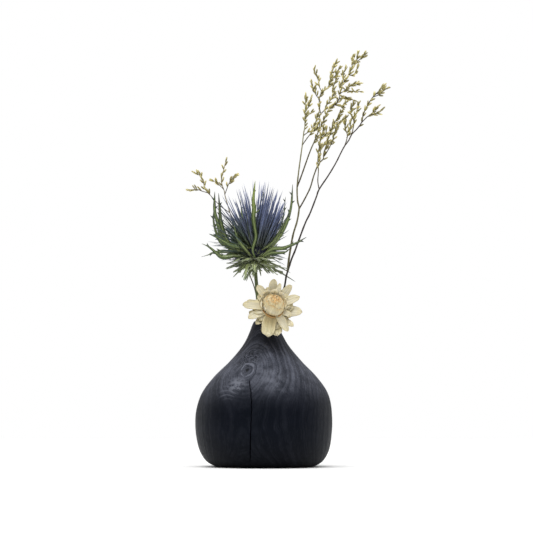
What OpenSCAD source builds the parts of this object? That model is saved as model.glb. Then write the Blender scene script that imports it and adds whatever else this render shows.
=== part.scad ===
// Turned wooden bud vase holding three kinds of dried flower.
// The vase stands on its flat base at z = 0, centred on the Z axis. Its front faces -Y.

/* [Vase] */
// Height of the vase, base to rim
vase_h = 112; // [104:1:120]
// Radius of the belly at its widest
belly_r = 53; // [50:0.5:56]
// Radius of the flat foot
foot_r = 38; // [34:1:42]
// Outer radius of the rim
rim_r = 9.5; // [9:0.25:11]
// Radius of the drilled bore that holds the stems
bore_r = 7.5; // [7.25:0.25:7.75]
// Depth of the bore below the rim
bore_depth = 56; // [55:1:70]
// Width of the drying crack down the front
crack_w = 0.8; // [0.4:0.1:1.2]
// Depth of the drying crack into the wood
crack_depth = 3; // [1:0.5:5]

/* [Sea holly] */
// Radius of the sea holly stem
holly_stem_r = 1.4; // [1:0.1:1.4]
// Radius of the seed head
head_r = 10; // [9:0.5:11]
// Number of blue needles
needle_count = 110; // [60:1:120]
// Length from the heart of the head to the tallest needle tip
needle_reach = 57; // [50:1:60]
// Half angle of the fan of needles
needle_fan = 38; // [30:1:40]

/* [Strawflower] */
// Radius of the strawflower stem
straw_stem_r = 1.1; // [0.8:0.1:1.1]
// Radius of the closed centre
dome_r = 8.5; // [7:0.5:9]
// Upward tilt of the flower's face
face_tilt = 28; // [24:1:32]
// Turn of the flower's face to the right
face_turn = 15; // [10:1:20]
// Share of the full petal length
petal_scale = 1; // [0.9:0.02:1]

/* [Statice] */
// Radius of the tall spray's stem
spray_stem_r = 1; // [0.7:0.1:1]
// Radius of the short sprig's stem
sprig_stem_r = 0.55; // [0.4:0.05:0.55]
// Length of a bud
bud_len = 4.4; // [3.5:0.1:5]
// Width of a bud
bud_w = 1.1; // [0.8:0.1:1.3]

/* [Hidden] */

$fn = 96;
bore_floor = vase_h - bore_depth;
stem_rest = bore_floor + 1.5;

// ---- vectors ----
function unit(v) = v / norm(v);
function mix(a, b, t) = a + (b - a) * t;
function last(v) = len(v) - 1;

// A smooth curve through the points, with k steps in each span
function curve(p, k) = [
    for (i = [0 : last(p) - 1], j = [0 : k - 1])
        let (a = p[max(i - 1, 0)], b = p[i], c = p[i + 1], d = p[min(i + 2, last(p))], t = j / k)
            0.5 * (2 * b + (c - a) * t + (2 * a - 5 * b + 4 * c - d) * t * t
                + (3 * b - a - 3 * c + d) * t * t * t),
    p[last(p)]];

// Everything behind the vase's own plane spreads a little wider and higher
spread_from = 2200;
spread_height = 70;
function spot(x, z, y) =
    let (s = 1 + y / spread_from)
        [x * s, y, spread_height + (z - spread_height) * s];

// ---- closed shells, each [points, faces] ----
function ring_faces(n, m) = [
    for (i = [0 : m - 2], k = [0 : n - 1])
        let (a = i * n + k, b = i * n + (k + 1) % n)
            each [[a, b, b + n], [a, b + n, a + n]]];
function shell(rings) =
    let (n = len(rings[0]), m = len(rings), e = (m - 1) * n)
        [[for (r = rings) each r],
            concat([for (k = [1 : n - 2]) [0, k + 1, k]], ring_faces(n, m),
                [for (k = [1 : n - 2]) [e, e + k, e + k + 1]])];
function shell_to_tip(rings, tip) =
    let (n = len(rings[0]), m = len(rings), e = (m - 1) * n)
        [[for (r = rings) each r, tip],
            concat([for (k = [1 : n - 2]) [0, k + 1, k]], ring_faces(n, m),
                [for (k = [0 : n - 1]) [e + k, e + (k + 1) % n, m * n]])];

function heading(path, i) = unit(path[min(i + 1, last(path))] - path[max(i - 1, 0)]);
function circle_ring(c, t, side, r, n) =
    let (u = unit(side - (side * t) * t), v = cross(u, t))
        [for (k = [0 : n - 1]) c + r * (cos(360 * k / n) * u + sin(360 * k / n) * v)];

// A round stem along a path, from radius r0 to r1
function stem(path, r0, r1, n = 6) =
    shell([for (i = [0 : last(path)])
        circle_ring(path[i], heading(path, i), [0.3, 1, 0.05],
            mix(r0, r1, i / last(path)), n)]);

// A pointed leaf along a path: its face looks towards `face`, its middle is raised by cup
function leaf_ring(c, t, face, w, thick, cup) =
    let (s = unit(cross(t, face)), f = cross(s, t))
        [c - w / 2 * s, c + (cup - thick / 2) * f, c + w / 2 * s, c + (cup + thick / 2) * f];
function leaf(path, w, thick, cup, face) =
    let (m = last(path))
        shell_to_tip([for (i = [0 : m - 1])
            let (q = i / m, swell = 0.45 + 0.55 * sin(180 * min(1, q * 1.25 + 0.12)))
                leaf_ring(path[i], heading(path, i), face, w * swell,
                    thick * (1 - 0.5 * q), cup * sin(180 * q))], path[m]);

// A straight spindle, pointed at both ends, widest at `belly` of its length
function spindle(a, b, w, belly = 0.4, n = 4) =
    let (t = unit(b - a), c = mix(a, b, belly),
        ring = circle_ring(c, t, [0.9, 0.3, 0.1], w / 2, n))
        [[a, each ring, b],
            [for (k = [0 : n - 1])
                each [[0, 1 + (k + 1) % n, 1 + k], [1 + k, 1 + (k + 1) % n, n + 1]]]];

function starts(shells) = [
    for (i = 0, at = 0; i < len(shells); at = at + len(shells[i][0]), i = i + 1) at];
module shells(list) {
    at = starts(list);
    polyhedron(points = [for (s = list) each s[0]],
        faces = [for (i = [0 : last(list)], f = list[i][1]) [for (k = f) k + at[i]]]);
}

// ---- vase ----
foot_round = 2;
outline = [[foot_r, 0], [foot_r + 2, 0.8], [belly_r - 8, 4], [belly_r - 4, 10],
    [belly_r - 1.5, 18], [belly_r, 32], [belly_r - 1, 46], [belly_r - 5, 58],
    [belly_r - 14, 70], [belly_r - 25, 81], [belly_r - 35, 93], [rim_r + 3, 103],
    [rim_r, vase_h - 2], [rim_r - 0.8, vase_h - 0.4], [bore_r + 0.9, vase_h]];
function vase_curve(inset) = [for (p = curve(outline, 3)) [p[0] - inset, p[1]]];

module vase_body() {
    color([0.13, 0.14, 0.17]) difference() {
        rotate_extrude() polygon(concat([[0, 0]], vase_curve(0), [[0, vase_h]]));
        translate([0, 0, bore_floor]) cylinder(r = bore_r, h = bore_depth + 5);
        // the drying crack, open down the front left of the middle
        difference() {
            translate([-11.5 - crack_w / 2, -belly_r - 5, 7]) cube([crack_w, belly_r, 60]);
            rotate_extrude() polygon(concat([[0, -1]], vase_curve(crack_depth), [[0, vase_h]]));
        }
    }
}

// ---- stems in the bore ----
// Each stem is straight inside the bore; these are its places at stem_low and at the rim
stem_low = 57.5;
function bore_point(low, top, z) =
    let (p = mix(low, top, (z - stem_low) / (vase_h - stem_low))) [p[0], p[1], z];
holly_low = [-0.8, -1.5];
holly_top = [-4.3, 2.4];
spray_low = [-2.8, 2.4];
spray_top = [5, 1.5];
sprig_low = [2.3, 2.4];
sprig_top = [-1.2, 6.3];
straw_low = [2.3, 0.2];
straw_top = [3, -3.6];

// ---- sea holly ----
heart = [-7.5, 9.5, 165];
head_mid_z = 167;
head_up = 12;

module holly_stem() {
    path = [bore_point(holly_low, holly_top, stem_rest),
        bore_point(holly_low, holly_top, vase_h + 4), [-6.5, 5.5, 140], [-7.4, 7.5, 151],
        [-7.6, 9, 159]];
    color([0.42, 0.43, 0.28]) shells([stem(path, holly_stem_r, holly_stem_r, 12)]);
}

module holly_head() {
    color([0.2, 0.24, 0.26]) translate([heart[0], heart[1], 0])
        rotate_extrude() polygon(curve([[0, 156], [5.5, 157.2], [head_r - 1.2, 161],
            [head_r, 166], [head_r - 0.6, 171], [head_r - 3, 175.5], [4, 178.5], [0, 179.5]], 3));
}

// The needles fan out furthest on the left, away from the spray
function needle(i) =
    let (q = (i + 0.5) / needle_count, turn = 137.508 * i,
        fan = needle_fan * (1 + 0.9 * max(0, -cos(turn))), th = fan * sqrt(q),
        al = 85 * sqrt(q),
        reach = needle_reach - 15.5 * pow(q, 0.8) - 0.22 * max(0, th - needle_fan)
            + 2 * sin(77 * i),
        root = [heart[0] + (head_r - 0.7) * sin(al) * cos(turn),
            heart[1] + (head_r - 0.7) * sin(al) * sin(turn),
            head_mid_z + (head_up - 0.7) * cos(al)],
        tip = heart + reach * [sin(th) * cos(turn) + 0.06 * (1 - q), sin(th) * sin(turn), cos(th)])
        spindle(root, tip, 1.3, 0.25);
module holly_needles()
    color([0.3, 0.36, 0.58]) shells([for (i = [0 : needle_count - 1]) needle(i)]);

// A bract's path: points are [x, z], its depth runs evenly from y0 to y1
function bract_path(p, y0, y1) = [for (i = [0 : last(p)])
    spot(p[i][0], p[i][1], mix(y0, y1, i / last(p)))];
bracts_left = [
    [[[-14.5, 162.5], [-22, 166], [-28.5, 170], [-33.5, 179], [-36.5, 188.5], [-39, 198],
        [-39, 213]], 7, 5, 4.5],
    [[[-13, 165.5], [-24, 168.5], [-30.5, 177.5], [-34, 188], [-35, 197], [-36, 212]], 3, -1, 4],
    [[[-14.5, 168], [-28, 170], [-34.5, 173.5], [-38.5, 183.5], [-40, 192.5], [-39.5, 200]],
        13, 14, 3],
    [[[-10.5, 169], [-24, 170.5], [-32, 174], [-37.5, 177.5], [-43.5, 180]], 2, -4, 3.5],
    [[[-12.5, 160.5], [-24, 163.5], [-30, 162], [-34.5, 162.5], [-39.5, 166.5], [-44, 170],
        [-49.5, 172.5]], 4, 0, 4],
    [[[-14.5, 164], [-30, 166.5], [-40.5, 165], [-44, 163.5], [-49.5, 162]], 14, 16, 3],
    [[[-10.5, 163], [-16.5, 169.5], [-21, 176], [-23, 182.5], [-24, 189]], 1.5, -9, 3.2],
    [[[-8, 161.5], [-9.5, 168], [-7, 177.5], [-8, 185], [-9, 192.5], [-8.5, 199], [-9, 207],
        [-7.5, 221.5]], 0.5, -12, 2.6]];
bracts_right = [
    [[[-2, 163], [5.5, 170.5], [10.5, 177], [15, 185], [18.5, 194], [20.5, 203], [21.5, 219]],
        6, 0, 3.4],
    [[[-3, 167], [5.5, 173], [12, 182.5], [17, 192.5], [20, 197]], 3, -6, 2.8],
    [[[-2, 170], [8, 181], [14, 192], [16, 209]], 8, 6, 1.8],
    [[[-3.5, 162], [5.5, 168], [13.5, 168.5], [20, 171], [25.5, 173.5], [32.5, 177.5]],
        1, -6, 3.4],
    [[[-5, 159.5], [3.5, 164.5], [10.5, 165], [16, 166], [20.5, 169.5]], 2, -6, 3],
    [[[-5, 168], [-2, 186], [-2, 200], [-1, 213]], 17, 32, 2.6],
    [[[-11.5, 167], [-16, 184], [-18, 196], [-19, 207]], 16, 28, 2.6]];
function bract(b) =
    leaf(bract_path(b[0], b[1], b[2]), b[3], 1.3, 0.4, [0.1, -1, 0.25]);
module holly_bracts_left()
    color([0.42, 0.5, 0.27]) shells([for (b = bracts_left) bract(b)]);
module holly_bracts_right()
    color([0.42, 0.5, 0.27]) shells([for (b = bracts_right) bract(b)]);

// Spiny collar leaves under the head, each [turn about the stem at the root, reach, tip
// height, width, turn at the tip]. Those on the right swing forward, clear of the spray.
collar_upper = [[-172, 25, 167, 4, -172], [-158, 27, 163, 4, -160], [-140, 22, 158, 4.5, -143],
    [-122, 20, 157, 4, -122], [-78, 17, 158, 4, -80], [-66, 18, 159, 4, -54],
    [-48, 26, 160, 4, -34], [0, 15, 161, 3.5, 0], [165, 26, 168, 4, 165],
    [120, 18, 168, 4, 120], [85, 17, 168, 3.5, 85]];
collar_lower = [[-165, 23.5, 153, 5, -165], [-150, 20, 150, 5, -150], [-131, 14, 144, 3.5, -131],
    [-112, 12, 145.5, 4, -112], [-95, 13, 150, 4.5, -92], [-80, 13.5, 151, 4.5, -72],
    [-66, 18, 149, 4.5, -50], [-52, 22, 148, 4, -36], [-60, 28.5, 152.5, 4, -25.5],
    [172, 23, 157.5, 4.5, 172], [140, 16, 156, 4, 140], [62, 15, 156, 3.5, 66]];
function collar_point(c, t, z) =
    let (turn = mix(c[0], c[4], t), out = mix(6.5, c[1], t))
        [heart[0] + out * cos(turn), heart[1] + out * sin(turn), z];
function collar_leaf(c, root_z, rise) =
    leaf([collar_point(c, 0, root_z), collar_point(c, 0.35, mix(root_z, c[2], 0.3) + rise),
        collar_point(c, 0.7, mix(root_z, c[2], 0.65) + rise), collar_point(c, 1, c[2])],
        c[3], 1.2, 0.3, [0, 0, 1]);
module holly_collar_upper()
    color([0.33, 0.37, 0.22]) shells([for (c = collar_upper) collar_leaf(c, 161.5, 0.5)]);
module holly_collar_lower()
    color([0.5, 0.52, 0.36]) shells([for (c = collar_lower) collar_leaf(c, 158.6, -0.5)]);

// ---- strawflower ----
disc = [5.7, -11, 122.6];
look = [sin(face_turn) * cos(face_tilt), -cos(face_turn) * cos(face_tilt), sin(face_tilt)];
right = [cos(face_turn), sin(face_turn), 0];
up = cross(look, right);
// A place on the flower: clock angle from the top, distance out, and height off the face
function bloom(angle, out, lift) =
    disc + out * (cos(angle) * up + sin(angle) * right) + lift * look;

module straw_stem() {
    path = [bore_point(straw_low, straw_top, 80),
        bore_point(straw_low, straw_top, vase_h + 2),
        disc - 9 * look + [-0.2, 0, -0.8], disc - 4.5 * look];
    color([0.5, 0.45, 0.3]) shells([stem(path, straw_stem_r, straw_stem_r, 12)]);
}

module straw_receptacle() {
    color([0.62, 0.52, 0.33]) translate(disc) rotate([0, 0, face_turn])
        rotate([90 - face_tilt, 0, 0])
            rotate_extrude() polygon([[0, -6.5], [3, -5.5], [6.5, -2.5], [7.5, 0], [6.5, 1.5],
                [0, 1.5]]);
}

// Petals, each [clock angle, length, lift of the tip, width]
outer_petals = [[7, 22.5, 5, 6], [43, 23.5, 5, 5.5], [104, 23, 3, 8], [142, 22.5, 2, 5],
    [180, 24.5, 0, 8], [225, 21, 0, 5], [255, 20, 0, 4], [283, 20.5, 2, 5]];
second_petals = [[22, 20, 5, 3.5], [71, 23, 4, 6], [125, 16, 3, 5], [157, 23.5, 1, 6],
    [197, 26, 0, 8], [243, 23.5, 2, 6], [270, 24.5, 4, 6.5], [326, 20, 5, 6]];
function petal(p, base, bend) =
    let (s = petal_scale, n = p[1] * s)
        leaf([bloom(p[0], 5, base), bloom(p[0], mix(5, n, 0.25), base + 0.6),
            bloom(p[0], mix(5, n, 0.5), mix(base, p[2], 0.45) + bend),
            bloom(p[0], mix(5, n, 0.72), mix(base, p[2], 0.75) + bend),
            bloom(p[0], mix(5, n, 0.9), mix(base, p[2], 0.95)),
            bloom(p[0], n, p[2])], p[3], 1, -0.5, look);
module straw_outer_petals()
    color([0.85, 0.78, 0.6]) shells([for (p = outer_petals) petal(p, -0.5, -0.6)]);
module straw_second_petals()
    color([0.87, 0.8, 0.62]) shells([for (p = second_petals) petal(p, 2, 0.4)]);

cup_count = 11;
function cup_petal(i) =
    let (a = 360 * i / cup_count + 10, grow = 1 + 0.25 * cos(a))
        leaf([bloom(a, 6.5, 2.2), bloom(a, 9.5, 3), bloom(a, 10.6 * grow, 5),
            bloom(a, 11 * grow, 8 + 2 * grow)], 4.6, 0.9, -0.3, look);
module straw_inner_cup()
    color([0.86, 0.77, 0.56]) shells([for (i = [0 : cup_count - 1]) cup_petal(i)]);

module straw_centre() {
    color([0.84, 0.74, 0.5]) translate(disc) rotate([0, 0, face_turn])
        rotate([90 - face_tilt, 0, 0])
            rotate_extrude() polygon(curve([[0, 1], [dome_r - 1.5, 1.5], [dome_r - 0.2, 4],
                [dome_r - 1, 7], [dome_r - 3, 9.5], [2.5, 11], [0, 11]], 3));
}

// ---- statice ----
// The tall spray leans back as it rises; a limb's own depth runs from d0 to d1
function limb(p, d0, d1) = [for (i = [0 : last(p)])
    spot(p[i][0], p[i][1], spray_top[1] + 0.2 * (p[i][1] - vase_h)
        + mix(d0, d1, i / last(p)))];
dark_limb = [[14.5, 136.5], [16.5, 147], [18, 152], [20.5, 160], [23, 166], [25, 171.5],
    [29, 182.5], [32, 190], [35, 196], [40, 209], [42, 214.5], [49, 225], [55, 235],
    [59.5, 244], [62, 248.5], [65, 252.5], [67.5, 257.5], [71, 261], [75, 266.5],
    [76.5, 273], [80, 280.5], [84, 286.5], [88, 290.5], [93, 296]];
pale_limb = [[17.5, 151], [18, 156], [18.5, 160], [20, 169.5], [22, 180], [25, 190],
    [26.5, 200], [25.5, 204], [25, 210], [25, 217], [26, 227], [28, 242], [29, 249],
    [30, 258], [31, 265], [31.5, 286]];
// Each side shoot: [points, depth at its root, depth at its tip, first bud's share]
side_limbs = [
    [[[25, 216.5], [27.5, 223], [30, 230], [33.5, 240], [36, 246.5], [38, 251], [41.5, 259.5],
        [44, 264.5], [46, 269], [48, 274], [51, 278], [54, 280.5]], 0, 0, 0.85],
    [[[26.5, 199.5], [30, 205.5], [35, 215.5], [38, 225.5], [41.5, 234], [45.5, 238.5],
        [45.5, 242], [48.5, 251.5], [51.5, 261.5], [55, 268], [59, 274.5]], 0, 7, 0.72]];
branches = [
    [[[42, 214.5], [41, 221], [41.5, 229.5], [41, 237], [42, 247], [43.5, 253.5], [45, 261]],
        0, -7, 0.6],
    [[[62, 248.5], [64, 256], [62.5, 262], [62.5, 270]], 0, 4, 0.5],
    [[[67.5, 257.5], [69, 265], [69, 270], [71.5, 275], [72, 281]], 0, -4, 0.35],
    [[[75, 266.5], [79.5, 271], [82.5, 273], [86.5, 278]], 0, -4, 0.4],
    [[[84, 286.5], [88, 288], [94.5, 293]], 0, 5, 0.35],
    [[[29, 249], [32.5, 254], [36, 259], [39, 266], [41, 272]], 0, -6, 0.45],
    [[[30, 256.5], [33.5, 259], [37, 260.5]], 0, 4, 0.5],
    [[[31, 268], [33, 272], [36, 274]], 0, 4, 0.4],
    [[[31.3, 275], [34, 279], [35.5, 284.5]], 0, -3, 0.4],
    [[[42.5, 262], [42.5, 271.5], [46, 276], [48, 280], [51, 284], [53, 288], [53, 293],
        [55.5, 301.5]], 0, 12, 0.55],
    [[[51, 278], [55, 281], [58, 286], [59, 295.5], [64, 301], [67, 308], [69, 317]],
        0, -6, 0.15],
    [[[45.5, 240], [49.5, 246], [53, 254], [55.5, 263.5], [60, 268.5]], 4, -2, 0.55],
    [[[42.5, 235.5], [43.5, 246.5], [47, 250], [51, 251]], 3.2, 12, 0.5]];
twigs = [
    [[[63.5, 254.5], [66, 260.5], [66.5, 267]], 3, 0, 0.4],
    [[[69, 268], [66.5, 274], [68.5, 281]], -2.3, 2, 0.4],
    [[[81, 272], [87, 273.5], [91, 276.5]], -2.5, -6, 0.3],
    [[[43.3, 273], [42, 281], [43, 288], [45.5, 291], [50, 296], [52, 305], [55, 313]],
        3.2, 8, 0.35],
    [[[57, 284.5], [62.5, 286], [65.5, 285], [69, 284]], -2.2, 3, 0.3],
    [[[53.5, 280.3], [60.5, 279], [63, 282]], -0.5, 6, 0.4],
    [[[58.3, 289], [64, 293], [68.5, 296], [72, 296.5]], -3, -8, 0.3],
    [[[65, 303.5], [70, 304], [72, 309]], -4.8, -9, 0.3],
    [[[61.5, 298.5], [61, 304], [62.5, 308.5]], -4, 2, 0.3],
    [[[67, 308], [71, 314], [72.5, 320]], -5.1, 0, 0.3],
    [[[36, 259], [40, 262], [42, 266]], -3, -11, 0.2],
    [[[43.7, 254.5], [47, 257], [48, 262]], -6, -10, 0.2]];
tips = [
    [[[44.5, 290], [42, 295], [41, 301], [38, 307.5]], 5.7, 2, 0.3],
    [[[50.5, 299], [54.5, 303], [57.5, 309]], 6.8, 12, 0.2],
    [[[71, 314], [75, 316.5], [77, 319.5]], -2.5, -5, 0.3],
    [[[62, 291.8], [67, 291], [74, 290.5]], -5, 0, 0.3],
    [[[42.6, 284], [39, 289], [36.5, 297]], 5, 9, 0.5]];

function spray_path(s) = limb(s[0], s[1], s[2]);
function shoot(s, r0, r1) = stem(spray_path(s), r0, r1, 5);

// The length of a path up to each of its points
function run(p) = [for (i = 0, s = 0; i < len(p);
    s = s + (i < last(p) ? norm(p[i + 1] - p[i]) : 0), i = i + 1) s];
function along(p, s, d) =
    let (i = max([for (k = [0 : last(p) - 1]) s[k] <= d ? k : 0]))
        mix(p[i], p[i + 1], (d - s[i]) / (s[i + 1] - s[i]));

// Buds spiral up a shoot from share `first` of its length, and one points on from its tip
bud_gap = 2.7;
function buds(path, first, turn0) =
    let (s = run(path), total = s[last(s)], from = first * total,
        n = max(1, floor((total - from) / bud_gap)))
        [for (k = [0 : n])
            let (d = min(from + k * bud_gap, total - 0.2), c = along(path, s, d),
                t = unit(along(path, s, min(d + 1, total)) - along(path, s, max(d - 1, 0))),
                u = unit(cross(t, [0.2, 1, 0.1])), v = cross(u, t),
                turn = turn0 + 137.5 * k, tilt = k == n ? 3 : 30 + 8 * sin(97 * k),
                dir = cos(tilt) * t + sin(tilt) * (cos(turn) * u + sin(turn) * v))
                spindle(c + 0.1 * dir, c + (bud_len + 0.5 * sin(61 * k + turn0)) * dir,
                    bud_w)];
function buds_on(list) = [for (i = [0 : last(list)])
    each buds(spray_path(list[i]), list[i][3], 40 * i)];

bark = [0.17, 0.13, 0.1];
straw_green = [0.5, 0.47, 0.27];
bud_colour = [0.68, 0.62, 0.42];

module spray_stem() {
    path = concat([bore_point(spray_low, spray_top, stem_rest),
        bore_point(spray_low, spray_top, vase_h + 1), [8.2, 2.3, 120]],
        limb(dark_limb, 0, 0));
    color(bark) shells([stem(path, spray_stem_r, 0.4, 6)]);
}
module spray_pale_limb() color(straw_green) shells([stem(limb(pale_limb, 0, 0), 0.9, 0.35, 6)]);
module spray_side_limbs() color(straw_green) shells([for (s = side_limbs) shoot(s, 0.65, 0.4)]);
module spray_branches() color(straw_green) shells([for (s = branches) shoot(s, 0.45, 0.3)]);
module spray_twigs() color(straw_green) shells([for (s = twigs) shoot(s, 0.4, 0.25)]);
module spray_tips() color(straw_green) shells([for (s = tips) shoot(s, 0.35, 0.25)]);
module spray_buds_limbs() color(bud_colour) shells(concat(buds_on(side_limbs),
    buds(limb(dark_limb, 0, 0), 0.93, 0), buds(limb(pale_limb, 0, 0), 0.86, 30)));
module spray_buds_branches() color(bud_colour) shells(buds_on(branches));
module spray_buds_twigs() color(bud_colour) shells(buds_on(twigs));
module spray_buds_tips() color(bud_colour) shells(buds_on(tips));

// The short sprig rises behind the sea holly
sprig_points = [[-5.7, 16, 128], [-8.6, 22, 139.5], [-12.3, 27, 149.5], [-20, 30, 173],
    [-29, 32, 202.5], [-31, 33, 209.5], [-31.5, 33, 213], [-34, 33, 221], [-32.5, 34, 228],
    [-30.5, 34, 236]];
sprig_shoots = [
    [[[-31.2, 210.5], [-28.8, 217], [-27, 221], [-23, 225]], 0.35],
    [[[-32, 214.5], [-35.5, 218], [-40, 221]], 0.4],
    [[[-27, 196], [-35, 202], [-42.5, 210], [-46, 214], [-49.5, 224], [-54, 227]], 0.5],
    [[[-44, 211.7], [-48.5, 213], [-53, 214.5], [-58.5, 214]], 0.35]];
function sprig_path(s) = [for (i = [0 : last(s[0])])
    spot(s[0][i][0], s[0][i][1], 32.5 - 1.2 * i)];
sprig_main = [for (p = sprig_points) spot(p[0], p[2], p[1])];

module sprig_stem() {
    path = concat([bore_point(sprig_low, sprig_top, stem_rest),
        bore_point(sprig_low, sprig_top, vase_h + 1), [-3.6, 9, 120]], sprig_main);
    color([0.4, 0.36, 0.24]) shells([stem(path, sprig_stem_r, 0.35, 6)]);
}
module sprig_branches()
    color([0.45, 0.42, 0.27]) shells([for (s = sprig_shoots) stem(sprig_path(s), 0.35, 0.25, 5)]);
module sprig_buds() color(bud_colour) shells(concat(buds(sprig_main, 0.83, 15),
    [for (i = [0 : last(sprig_shoots)])
        each buds(sprig_path(sprig_shoots[i]), sprig_shoots[i][1], 50 * i)]));

vase_body();
holly_stem();
holly_head();
holly_needles();
holly_bracts_left();
holly_bracts_right();
holly_collar_upper();
holly_collar_lower();
straw_stem();
straw_receptacle();
straw_outer_petals();
straw_second_petals();
straw_inner_cup();
straw_centre();
spray_stem();
spray_pale_limb();
spray_side_limbs();
spray_branches();
spray_twigs();
spray_tips();
spray_buds_limbs();
spray_buds_branches();
spray_buds_twigs();
spray_buds_tips();
sprig_stem();
sprig_branches();
sprig_buds();
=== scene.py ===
import math
import random

import bpy
import numpy as np
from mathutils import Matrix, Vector


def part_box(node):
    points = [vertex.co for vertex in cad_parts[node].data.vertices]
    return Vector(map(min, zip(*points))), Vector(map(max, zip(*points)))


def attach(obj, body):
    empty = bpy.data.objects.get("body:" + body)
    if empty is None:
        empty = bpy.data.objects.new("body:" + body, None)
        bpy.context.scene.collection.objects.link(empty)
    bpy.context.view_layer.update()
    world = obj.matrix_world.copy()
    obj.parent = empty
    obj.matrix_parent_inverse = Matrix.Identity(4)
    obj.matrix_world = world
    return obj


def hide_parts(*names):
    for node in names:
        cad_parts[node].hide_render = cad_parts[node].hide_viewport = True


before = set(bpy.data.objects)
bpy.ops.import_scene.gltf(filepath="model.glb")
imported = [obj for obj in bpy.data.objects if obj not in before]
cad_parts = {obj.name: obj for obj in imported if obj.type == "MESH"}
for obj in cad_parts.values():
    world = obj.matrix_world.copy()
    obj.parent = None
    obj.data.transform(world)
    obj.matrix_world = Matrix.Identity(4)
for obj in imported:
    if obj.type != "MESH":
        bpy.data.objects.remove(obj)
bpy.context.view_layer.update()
rng = random.Random(7)
MM = 0.001
GOLDEN = 2.39996  # golden angle, spreads points evenly


# ---------------------------------------------------------------- shapes of the CAD nodes
def islands(node):
    """The separate shells of a CAD node: points in millimetres, and each point's neighbours."""
    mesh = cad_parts[node].data
    index, points, of = {}, [], []
    for v in mesh.vertices:
        key = tuple(round(c * 1e6) for c in v.co)
        if key not in index:
            index[key] = len(points)
            points.append([c * 1000 for c in v.co])
        of.append(index[key])
    near = [set() for _ in points]
    for e in mesh.edges:
        a, b = of[e.vertices[0]], of[e.vertices[1]]
        if a != b:
            near[a].add(b)
            near[b].add(a)
    seen, found = set(), []
    for start in range(len(points)):
        if start in seen:
            continue
        group, queue = [], [start]
        seen.add(start)
        while queue:
            i = queue.pop()
            group.append(i)
            for j in sorted(near[i] - seen):
                seen.add(j)
                queue.append(j)
        group.sort()
        place = {g: k for k, g in enumerate(group)}
        found.append((np.array([points[g] for g in group]),
                      [[place[j] for j in sorted(near[g])] for g in group]))
    found.sort(key=lambda g: tuple(np.round(g[0].mean(0), 2)))
    return found


def far_pair(p):
    """The two points of a shell that lie farthest apart."""
    d = np.linalg.norm(p[:, None] - p[None], axis=2)
    return np.unravel_index(d.argmax(), d.shape)


def spindles(node):
    """Root and tip of each spindle. Its widest ring lies nearer to its root."""
    out = []
    for p, _ in islands(node):
        a, b = far_pair(p)
        ring = np.delete(p, [a, b], 0).mean(0)
        if np.linalg.norm(ring - p[a]) > np.linalg.norm(ring - p[b]):
            a, b = b, a
        out.append((p[a], p[b]))
    return out


def leaves(node):
    """Each leaf's middle line from root to tip, and its width at every point before the tip."""
    out = []
    for p, near in islands(node):
        best = None
        for i in range(len(p)):
            if len(near[i]) != 4:
                continue
            layers, seen = [[i]], {i}
            while len(seen) < len(p):
                nxt = sorted({j for k in layers[-1] for j in near[k]} - seen)
                if not nxt:
                    break
                layers.append(nxt)
                seen.update(nxt)
            if all(len(x) == 4 for x in layers[1:]) and len(seen) == len(p):
                size = np.linalg.norm(p[layers[1]] - p[layers[1]].mean(0), axis=1).max()
                reach = np.linalg.norm(p - p[i], axis=1).max()
                if best is None or reach - 3 * size > best[0]:
                    best = (reach - 3 * size, layers)
        mid, wide = [], []
        for ring in reversed(best[1][1:]):
            q = p[ring]
            a, b = far_pair(q)
            mid.append((q[a] + q[b]) / 2)
            wide.append(np.linalg.norm(q[a] - q[b]))
        out.append((np.array(mid + [p[best[1][0][0]]]), np.array(wide)))
    return out


def tubes(node, sides):
    """Each stem's middle line and radius."""
    out = []
    for p, _ in islands(node):
        a, b = far_pair(p)
        if p[a][2] > p[b][2]:
            a, b = b, a
        order = np.argsort(p @ (p[b] - p[a]))
        rings = p[order].reshape(-1, sides, 3)
        mid = rings.mean(1)
        out.append((mid, np.linalg.norm(rings - mid[:, None], axis=2).mean(1)))
    return out


# ---------------------------------------------------------------- mesh building
def smooth(p, rows):
    """A Catmull-Rom curve through the points, resampled to `rows` even steps."""
    p = np.asarray(p, float)
    q = np.vstack([2 * p[0] - p[1], p, 2 * p[-1] - p[-2]])
    t = np.linspace(0, 1, 9)[:-1, None]
    line = [0.5 * (2 * q[i] + (q[i + 1] - q[i - 1]) * t
                   + (2 * q[i - 1] - 5 * q[i] + 4 * q[i + 1] - q[i + 2]) * t ** 2
                   + (3 * q[i] - q[i - 1] - 3 * q[i + 1] + q[i + 2]) * t ** 3)
            for i in range(1, len(q) - 2)]
    line = np.vstack(line + [p[-1:]])
    run = np.concatenate([[0], np.cumsum(np.linalg.norm(np.diff(line[:, :3], axis=0), axis=1))])
    at = np.linspace(0, run[-1], rows)
    return np.stack([np.interp(at, run, line[:, k]) for k in range(line.shape[1])], 1)


def length_of(line):
    return np.linalg.norm(np.diff(line, axis=0), axis=1).sum()


def unit(v):
    v = np.asarray(v, float)
    return v / np.maximum(np.linalg.norm(v, axis=-1, keepdims=True), 1e-9)


def axes(line, face):
    """Tangent, sideways and facing direction at each point of a line."""
    t = unit(np.gradient(line, axis=0))
    s = unit(np.cross(t, np.broadcast_to(np.asarray(face, float), t.shape)))
    return t, s, np.cross(s, t)


def toward(turn, lift):
    """The direction at an angle round the upright axis and an angle above level."""
    return np.array([math.cos(turn) * math.cos(lift), math.sin(turn) * math.cos(lift),
                     math.sin(lift)])


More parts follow.
